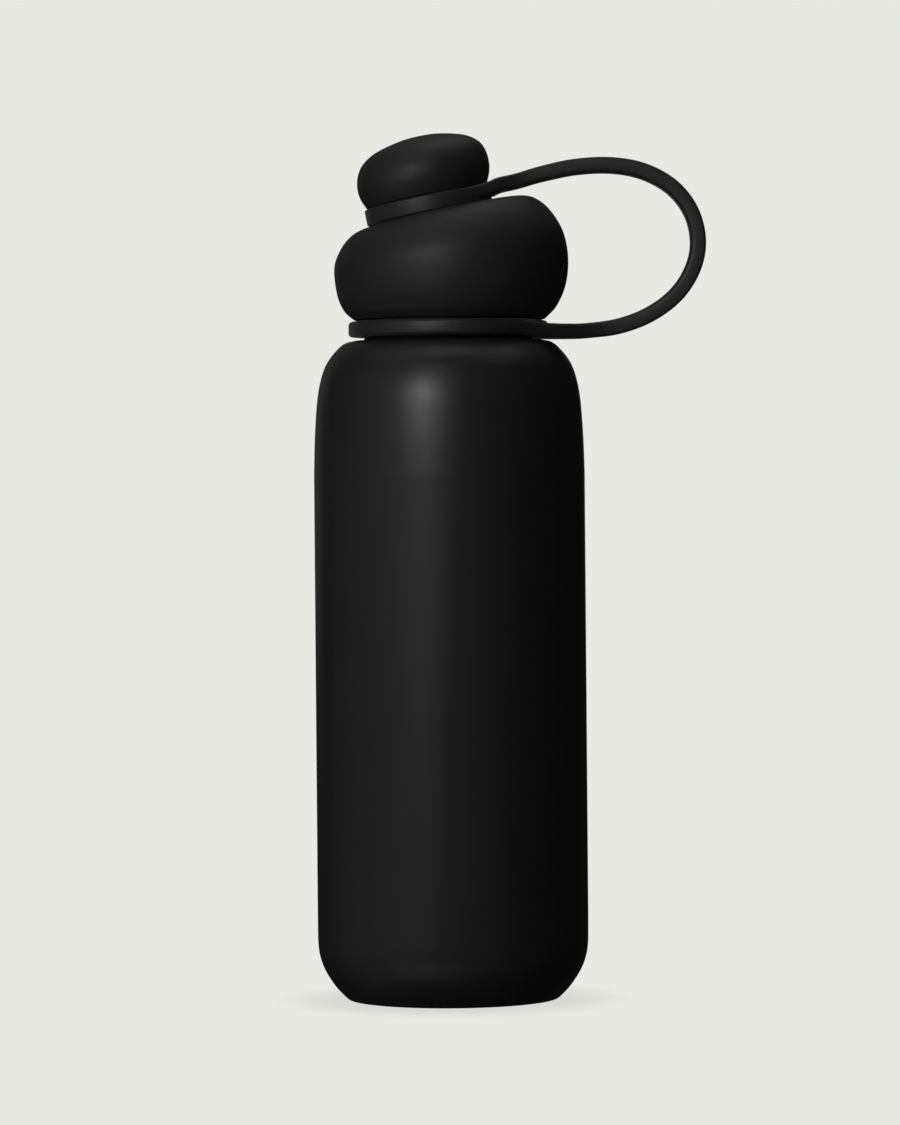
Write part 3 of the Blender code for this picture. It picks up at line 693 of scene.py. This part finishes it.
def build_spout():
    flange_z = LID_CEILING_Z + LID_CEILING_T + 2.0
    outline = rounded([(SPOUT_BORE_R, SPOUT_TOP), (SPOUT_R, SPOUT_TOP), (SPOUT_R, -26.0), (SPOUT_BORE_R, -26.0)],
                      [0.7, 0.9, 0, 0], 6)
    tube = put_tilted(spun("spout_fine", outline, None, 128))
    for k in range(2):
        ridge = put_tilted(thread_ridge("ridge_s%d" % k, SPOUT_R - 0.3, SPOUT_CREST_R, -2.1, CAP_LEAD, 0.85,
                                        180.0 * k + 3.0, 1.5, 0.7))
        boolean(tube, ridge, "UNION")
    plate = spun("plate", [(0.0, flange_z + 1.8), (18.5, flange_z + 1.8), (18.5, flange_z), (0.0, flange_z)], None, 96,
                 True, closed=False)
    plate.data.transform(Matrix.Translation((-2.7 * MM, 0, 0)))
    boolean(plate, put_tilted(spun("plate_hole", [(0.0, 10.0), (SPOUT_R - 0.6, 10.0), (SPOUT_R - 0.6, -40.0),
                                                  (0.0, -40.0)], None, 96, True, closed=False)), "DIFFERENCE")
    bake_modifiers(plate)
    boolean(tube, plate, "UNION")
    cut = spun("spout_cut", [(0.0, LID_CEILING_Z + 0.2), (60.0, LID_CEILING_Z + 0.2), (60.0, 200.0), (0.0, 200.0)],
               None, 48, True, closed=False)
    boolean(tube, cut, "DIFFERENCE")
    bake_modifiers(tube)
    shade(tube, 32)
    wear_piece(tube, LINER_MAT, "lid", "liner_plastic", "spout")

    seal = spun("spout_seal_fine", rounded([(18.0, flange_z - GAP), (18.0, flange_z - 1.7), (14.6, flange_z - 1.7),
                                            (14.6, flange_z - GAP)], [0.3] * 4, 4), None, 128)
    seal.data.transform(Matrix.Translation((-2.7 * MM, 0, 0)))
    shade(seal, 40)
    wear_piece(seal, SEAL, "lid", "clear_silicone", "spout_seal")


# ------------------------------------------------------------------ small cap
def cap_map(x, y, h):
    lean = 0.03 + 1.25 * (max(h - 3.0, 0.0) / 17.0) ** 1.6
    return x + lean, y, h + (0.10 + 0.004 * x + 0.0005 * x * x) * min(max(h - 8.0, 0.0) / 8.0, 1.0)


def cap_line():
    return smooth_line([(19.85, CAP_UNDERSIDE + 0.25), (21.28, 6.4), (21.87, 9.8), (21.2, 13.9), (18.95, 17.45),
                        (14.4, 20.25), (6.6, 22.3), (0.0, CAP_TOP - 0.15)], 9)


def build_cap():
    outer = [(15.2, CAP_UNDERSIDE)] + [(19.1, CAP_UNDERSIDE), (19.55, CAP_UNDERSIDE + 0.05)] + cap_line()[:-1] + \
        [(0.0, CAP_TOP - 0.15)]
    inner = inset_line(cap_line(), -CAP_WALL)
    inner = [(0.0, CAP_TOP - CAP_WALL)] + [(r, h) for r, h in reversed(inner) if r > 0.8 and h > 5.0][::3] + \
        [(17.9, 4.5), (15.2, 4.5)]
    cap = spun("cap_body", outer + inner, cap_map, 160, closed=True)
    put_tilted(cap)
    shade(cap, 40)
    wear_piece(cap, LID_MAT, "cap", "lid_plastic", "cap_shell", "cap_base_ring")

    ceiling = 8.7
    outline = rounded([(0.0, ceiling + 1.6), (CAP_SKIRT_R, ceiling + 1.6), (CAP_SKIRT_R, -2.85), (CAP_FLANGE_R, -2.85),
                       (CAP_FLANGE_R, -4.25), (CAP_BORE_R, -4.25), (CAP_BORE_R, ceiling), (0.0, ceiling)],
                      [0, 0.5, 0.25, 0.4, 0.4, 0.3, 0.4, 0], 4, closed=False)
    liner = spun("cap_neck", outline, None, 128, closed=False)
    for k in range(2):
        boolean(liner, thread_ridge("ridge_c%d" % k, CAP_BORE_R + 0.3, CAP_RIDGE_R, -1.1, CAP_LEAD, 0.70,
                                    180.0 * k - 27.0, 1.5, 0.7), "UNION")
    bake_modifiers(liner)
    put_tilted(liner)
    shade(liner, 32)
    wear_piece(liner, LINER_MAT, "cap", "liner_plastic", "cap_liner")

    gasket = put_tilted(spun("cap_gasket_fine", rounded([(CAP_BORE_R - 0.4, ceiling - GAP), (CAP_BORE_R - 0.4, SPOUT_TOP + GAP),
                                                         (SPOUT_BORE_R - 1.2, SPOUT_TOP + GAP),
                                                         (SPOUT_BORE_R - 1.2, ceiling - GAP)], [0.35] * 4, 4), None, 128))
    shade(gasket, 40)
    wear_piece(gasket, SEAL, "cap", "clear_silicone", "cap_gasket")


# ------------------------------------------------------------------ strap
def loop_line():
    start = [(20.6, 217.75), (24.0, 217.6), (27.5, 217.2), (30.5, 216.95), (33.3, 216.82), (38.5, 216.72)]
    rise = [(45.0, 216.9), (55.45, 218.27), (65.42, 221.95), (73.85, 228.05), (79.4, 236.2), (81.4, 245.2),
            (79.4, 254.8), (73.45, 262.9), (64.35, 268.25), (53.8, 270.45), (41.8, 270.07), (30.5, 267.8), (22.7, 265.6)]
    root = [tilted_point(*p) for p in ((24.0, 0.0, 2.05), (21.2, 0.0, 1.45), (17.5, 0.0, 0.95), (12.9, 0.0, 0.7))]
    return smooth_line(start + rise + [(p.x, p.z) for p in root], 12)


def strap_thickness(share):
    line = [(0.0, 4.6), (0.05, 4.4), (0.10, 4.45), (0.2, 4.95), (0.33, 5.2), (0.5, 5.0), (0.62, 5.15), (0.82, 5.05), (0.90, 4.7), (0.94, 4.4), (1.0, 4.0)]
    return float(np.interp(share, [p[0] for p in line], [p[1] for p in line]))


def flank(distance, ring_r, slope):
    angle = math.atan2(1.0, slope)
    touch_x, touch_y = ring_r * math.cos(angle), ring_r * math.sin(angle)
    out = touch_y - (distance - touch_x) / math.tan(angle) - 0.5 * STRAP_W
    return 0.5 * STRAP_W + 2.2 * math.log1p(math.exp(min(out / 2.2, 30.0)))


def strap_section(half_w, half_t, outer_r, inner_r):
    """Rounded rectangle: +up is the loop's inner side, which has the bigger corner radius."""
    pts = []
    for sy, sz, a0, c in ((1, 1, 0, inner_r), (-1, 1, 90, inner_r), (-1, -1, 180, outer_r), (1, -1, 270, outer_r)):
        for k in range(6):
            a = math.radians(a0 + 18.0 * k)
            pts.append((sy * (half_w - c) + c * math.cos(a), sz * (half_t - c) + c * math.sin(a)))
    return pts


def build_strap():
    z0, z1 = NECK_RING_Z - 0.5 * NECK_RING_T - 0.25, NECK_RING_Z + 0.5 * NECK_RING_T
    ring_a = spun("strap_ring_a", rounded([(NECK_RING_R, z1), (NECK_RING_R, z0), (NECK_RING_BORE, z0), (NECK_RING_BORE, z1)],
                                          [1.25, 1.0, 0.6, 0.6], 7), None, 220)
    ring_b = put_tilted(spun("strap_ring_b", rounded([(CAP_RING_R, 2.7), (CAP_RING_R, -2.62), (CAP_RING_BORE, -2.62),
                                                      (CAP_RING_BORE, 2.7)], [0.7, 0.6, 0.5, 0.5], 7), None, 160, True))
    line = even_line(loop_line(), 0.9)
    centre = Vector((SPOUT_X, 0.0, SPOUT_Z))
    sections = []
    total = len(line)
    for i, (x, z) in enumerate(line):
        a, b = line[max(i - 1, 0)], line[min(i + 1, total - 1)]
        along = Vector((b[0] - a[0], 0.0, b[1] - a[1])).normalized()
        up = Vector((-along.z, 0.0, along.x))
        if i < total / 2:
            half_w = flank(x, NECK_RING_R, 0.78)
        else:
            half_w = flank((Vector((x, 0.0, z)) - centre).length, CAP_RING_R, 0.745)
        half_t = 0.5 * strap_thickness(i / (total - 1))
        sections.append([Vector((x, side, z)) + up * high
                         for side, high in strap_section(half_w, half_t, 0.9, 1.5)])
    arm = loft("strap_arm", sections, True)
    # keep the arm out of both rings' bores
    for name, prof, tilt in (("bore_a", [(0.0, 226.0), (NECK_RING_BORE, 226.0), (NECK_RING_BORE, 208.0), (0.0, 208.0)], False),
                             ("bore_b", [(0.0, 9.0), (CAP_RING_BORE, 9.0), (CAP_RING_BORE, -9.0), (0.0, -9.0)], True)):
        tool = spun(name, prof, None, 96, True, closed=False)
        if tilt:
            put_tilted(tool)
        boolean(arm, tool, "DIFFERENCE")
    bake_modifiers(arm)
    boolean(ring_a, arm, "UNION")
    boolean(ring_a, ring_b, "UNION")
    bake_modifiers(ring_a)
    ring_a.name = "strap_whole"
    return ring_a


def split_strap(whole):
    """One moulding, cut at the loop's far end into the half that the neck holds and the half that the cap holds."""
    apex = Vector((81.4, 0.0, 245.2)) * MM
    halves = []
    for name, keep_low in (("strap_lower", True), ("strap_upper", False)):
        mesh = whole.data.copy()
        bm = bmesh.new()
        bm.from_mesh(mesh)
        geom = bm.verts[:] + bm.edges[:] + bm.faces[:]
        # the cut plane only crosses the loop: split by the height, right of the lids
        cut = bmesh.ops.bisect_plane(bm, geom=geom, plane_co=apex, plane_no=(0, 0, 1), dist=1e-7,
                                     clear_outer=keep_low, clear_inner=not keep_low)
        edges = [e for e in cut["geom_cut"] if isinstance(e, bmesh.types.BMEdge)]
        bmesh.ops.holes_fill(bm, edges=edges, sides=0)
        bm.normal_update()
        bm.to_mesh(mesh)
        bm.free()
        mesh.name = name
        obj = link(name, mesh)
        obj.data.shade_smooth()
        obj.data.set_sharp_from_angle(angle=math.radians(38))
        halves.append(obj)
    bpy.data.objects.remove(whole, do_unlink=True)
    lower, upper = halves
    wear_piece(lower, STRAP_MAT, None, "strap_silicone", "strap_neck_ring")
    wear_piece(upper, STRAP_MAT, None, "strap_silicone", "strap_loop", "strap_cap_ring")
    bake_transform(lower)
    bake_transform(upper)


build_body()
build_vessel()
build_pad()
build_lid()
build_spout()
build_cap()
split_strap(build_strap())

for obj in list(TOOLS.objects):
    bpy.data.objects.remove(obj, do_unlink=True)
bpy.data.collections.remove(TOOLS)


# ------------------------------------------------------------------ camera
cam_data = bpy.data.cameras.new("view")
cam = bpy.data.objects.new("view", cam_data)
scene.collection.objects.link(cam)
cam_data.lens = 159.416
cam_data.sensor_width = 36.0
cam_data.sensor_fit = "AUTO"
cam_data.shift_y = -0.0386
cam_data.clip_start, cam_data.clip_end = 0.05, 50.0
cam.matrix_world = (Matrix.Translation((0.00008, -1.62, 0.1669)) @ Matrix.Rotation(math.radians(90.0 - 0.385), 4, "X")
                    @ Matrix.Rotation(math.radians(-0.48), 4, "Z"))
scene.camera = cam

# ------------------------------------------------------------------ floor, surroundings and light
PALE = (0.807, 0.815, 0.768)


def light_path_is_camera(tree):
    node = tree.nodes.new("ShaderNodeLightPath")
    return node.outputs["Is Camera Ray"]


def build_floor():
    mesh = bpy.data.meshes.new("studio_floor")
    bm = bmesh.new()
    bmesh.ops.create_grid(bm, x_segments=8, y_segments=8, size=4.0)
    bm.to_mesh(mesh)
    bm.free()
    floor = bpy.data.objects.new("studio_floor", mesh)
    scene.collection.objects.link(floor)
    floor.location.z = -0.0002
    # the pale sweep lets the low bounce panels through
    floor.visible_shadow = False
    floor.visible_diffuse = False
    floor.visible_glossy = False
    mat = bpy.data.materials.new("studio_floor")
    mat.use_nodes = True
    tree = mat.node_tree
    tree.nodes.clear()
    out = tree.nodes.new("ShaderNodeOutputMaterial")
    glow = tree.nodes.new("ShaderNodeEmission")
    dull = tree.nodes.new("ShaderNodeBsdfDiffuse")
    dull.inputs["Color"].default_value = (0.02, 0.02, 0.02, 1)
    # painted contact shadow: ambient occlusion dims the floor's pale glow around the bottle's foot
    painted_shadow_ao = tree.nodes.new("ShaderNodeAmbientOcclusion")
    painted_shadow_ao.samples = 24
    painted_shadow_ao.inputs["Distance"].default_value = 0.020
    painted_shadow_ao.inputs["Color"].default_value = (1, 1, 1, 1)
    ramp = tree.nodes.new("ShaderNodeMapRange")
    ramp.inputs["From Min"].default_value = 0.45
    ramp.inputs["From Max"].default_value = 1.0
    ramp.inputs["To Min"].default_value = 0.86
    ramp.inputs["To Max"].default_value = 1.0
    tree.links.new(painted_shadow_ao.outputs["AO"], ramp.inputs["Value"])
    tree.links.new(ramp.outputs["Result"], glow.inputs["Strength"])
    glow.inputs["Color"].default_value = (*PALE, 1)
    mix = tree.nodes.new("ShaderNodeMixShader")
    tree.links.new(light_path_is_camera(tree), mix.inputs["Fac"])
    tree.links.new(dull.outputs["BSDF"], mix.inputs[1])
    tree.links.new(glow.outputs["Emission"], mix.inputs[2])
    tree.links.new(mix.outputs["Shader"], out.inputs["Surface"])
    floor.data.materials.append(mat)


def build_world():
    world = bpy.data.worlds.new("studio")
    scene.world = world
    world.use_nodes = True
    tree = world.node_tree
    tree.nodes.clear()
    out = tree.nodes.new("ShaderNodeOutputWorld")
    seen = tree.nodes.new("ShaderNodeBackground")
    seen.inputs["Color"].default_value = (*PALE, 1)
    room = tree.nodes.new("ShaderNodeBackground")
    room.inputs["Color"].default_value = (1.0, 1.0, 1.0, 1)
    room.inputs["Strength"].default_value = 0.012
    mix = tree.nodes.new("ShaderNodeMixShader")
    tree.links.new(light_path_is_camera(tree), mix.inputs["Fac"])
    tree.links.new(room.outputs["Background"], mix.inputs[1])
    tree.links.new(seen.outputs["Background"], mix.inputs[2])
    tree.links.new(mix.outputs["Shader"], out.inputs["Surface"])


def soft_light(name, azimuth, elevation, distance, size_x, size_y, power, target=(0.0, 0.0, 0.19)):
    """Rectangular soft light. Azimuth 0 is the camera's side, negative to its left."""
    data = bpy.data.lights.new(name, "AREA")
    data.shape = "RECTANGLE"
    data.size, data.size_y = size_x, size_y
    data.energy = power
    obj = bpy.data.objects.new(name, data)
    scene.collection.objects.link(obj)
    a, e = math.radians(azimuth), math.radians(elevation)
    back = Vector((math.sin(a) * math.cos(e), -math.cos(a) * math.cos(e), math.sin(e)))
    obj.location = Vector(target) + back * distance
    obj.rotation_mode = "QUATERNION"
    obj.rotation_quaternion = back.to_track_quat("Z", "Y")
    obj.visible_camera = False
    return obj


build_floor()
build_world()
# name, azimuth, elevation, side of the square panel in metres, watts
PANELS = (
    ("key", -23.0, 19.0, 0.15, 0.610),
    ("key_low", -23.0, 15.0, 0.15, 0.422),
    ("key_side", -31.0, 15.0, 0.15, 0.283),
    ("key_glow_a", -15.0, 15.0, 0.34, 0.814),
    ("key_glow_b", -31.0, 15.0, 0.34, 0.615),
    ("front_mid", -4.0, 12.0, 0.56, 0.142),
    ("left_mid_a", -52.0, 12.0, 0.56, 0.249),
    ("left_mid_b", -76.0, 12.0, 0.56, 0.103),
    ("left_mid_c", -100.0, 12.0, 0.56, 0.062),
    ("right_mid", 20.0, 12.0, 0.56, 0.033),
    ("left_low_a", -28.0, -12.0, 0.56, 0.141),
    ("left_low_b", -52.0, -12.0, 0.56, 0.133),
    ("left_low_c", -76.0, -12.0, 0.56, 0.129),
    ("left_low_d", -100.0, -12.0, 0.56, 0.090),
    ("right_low_a", 20.0, -12.0, 0.56, 0.041),
    ("right_low_b", 44.0, -12.0, 0.56, 0.012),
    ("bounce_a", -10.0, -40.0, 0.56, 0.184),
    ("bounce_b", -40.0, -40.0, 0.56, 0.240),
    ("bounce_c", -70.0, -40.0, 0.56, 0.107),
    ("bounce_d", -100.0, -40.0, 0.56, 0.042),
    ("bounce_e", 20.0, -40.0, 0.56, 0.030),
    ("bounce_f", 50.0, -40.0, 0.56, 0.025),
    ("front_high", -16.0, 36.0, 0.56, 0.404),
    ("right_high", 12.0, 36.0, 0.56, 0.067),
    ("left_high_a", -44.0, 36.0, 0.56, 0.095),
    ("left_high_b", -72.0, 36.0, 0.56, 0.096),
    ("left_high_c", -100.0, 36.0, 0.56, 0.041),
    ("back_high_a", -130.0, 36.0, 0.56, 0.035),
    ("back_high_b", -160.0, 36.0, 0.56, 0.071),
    ("back_high_c", 152.0, 34.0, 0.56, 0.080),
    ("back_fill_a", -150.0, 8.0, 0.56, 0.090),
    ("back_fill_b", 178.0, 8.0, 0.56, 0.220),
    ("front_top", -45.0, 60.0, 0.56, 0.213),
    ("left_top", -90.0, 60.0, 0.56, 0.178),
    ("right_top_a", 45.0, 60.0, 0.56, 0.099),
    ("right_top_b", 90.0, 60.0, 0.56, 0.300),
    ("back_top_a", 135.0, 60.0, 0.56, 0.400),
    ("back_top_c", 180.0, 60.0, 0.56, 0.350),
    ("back_top_b", -135.0, 60.0, 0.56, 0.037),
    ("overhead", 0.0, 88.0, 0.56, 1.000),
)
for name, azimuth, elevation, side, watts in PANELS:
    soft_light(name, azimuth, elevation, 1.2, side, side, watts)

scene.view_settings.view_transform = "Standard"
scene.view_settings.look = "None"
scene.view_settings.exposure = 0.0
scene.view_settings.gamma = 1.0
